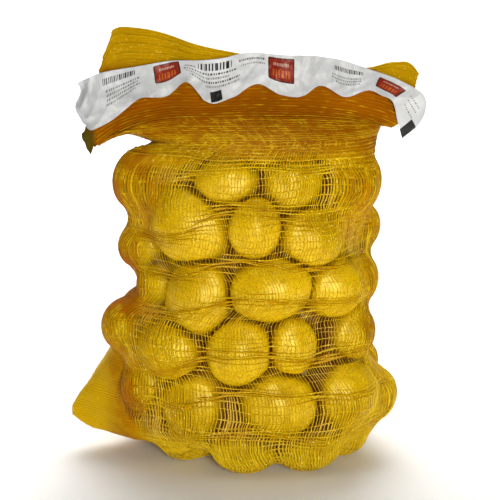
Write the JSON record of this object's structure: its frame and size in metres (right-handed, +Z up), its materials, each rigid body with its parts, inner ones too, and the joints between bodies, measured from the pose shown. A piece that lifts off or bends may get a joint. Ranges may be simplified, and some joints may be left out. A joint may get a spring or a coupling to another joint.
{
  "type": "net of potatoes",
  "caption": "Knitted yellow net sack filled with washed potatoes, standing upright, with an empty flattened neck and a white film band across its front.",
  "frame": {"origin": "on the floor, in the middle of the flat spot under the sack", "axes": "+Z up, -Y towards the front of the sack, where the film band lies, +X to the right as seen from the front"},
  "size_m": [0.302, 0.1725, 0.3626],
  "materials": {
    "potato_net": "knitted yellow net over washed yellow potatoes",
    "film": null
  },
  "bodies": {
    "root": {"net_bag": "potato_net", "label_band": "film"}
  },
  "joints": []
}
